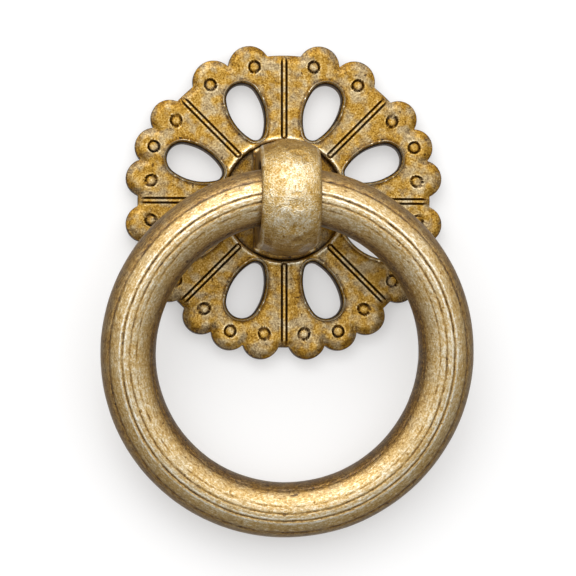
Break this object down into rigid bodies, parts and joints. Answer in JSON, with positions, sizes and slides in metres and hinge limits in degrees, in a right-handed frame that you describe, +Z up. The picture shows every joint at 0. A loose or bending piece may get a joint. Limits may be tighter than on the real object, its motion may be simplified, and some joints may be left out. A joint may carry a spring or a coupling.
{
  "type": "ring pull handle",
  "caption": "Drawer or cabinet ring pull: a closed cast ring hangs in an eye post seated in a pierced scalloped rosette, and swings forward and up to be gripped.",
  "frame": {"origin": "middle of the rosette's back face, where the fixing screw's axis meets the drawer front", "axes": "+Y out of the back face into the drawer front, +Z up, with the pull facing -Y"},
  "size_m": [0.05, 0.0189, 0.0662],
  "materials": {
    "rosette_brass": "antique, cast, darkened in the recesses",
    "post_brass": "antique, rubbed pale on the crown",
    "ring_brass": "antique, turned, rubbed pale on the crest"
  },
  "bodies": {
    "fixed": {"backplate": "rosette_brass", "post": "post_brass"},
    "ring": {"ring": "ring_brass"}
  },
  "joints": [
    {"name": "ring_swing", "type": "hinge", "parent": "fixed", "child": "ring", "pos_m": [0, -0.0126, 0], "axis": [-1, 0, 0], "range_deg": [0, 204]}
  ]
}
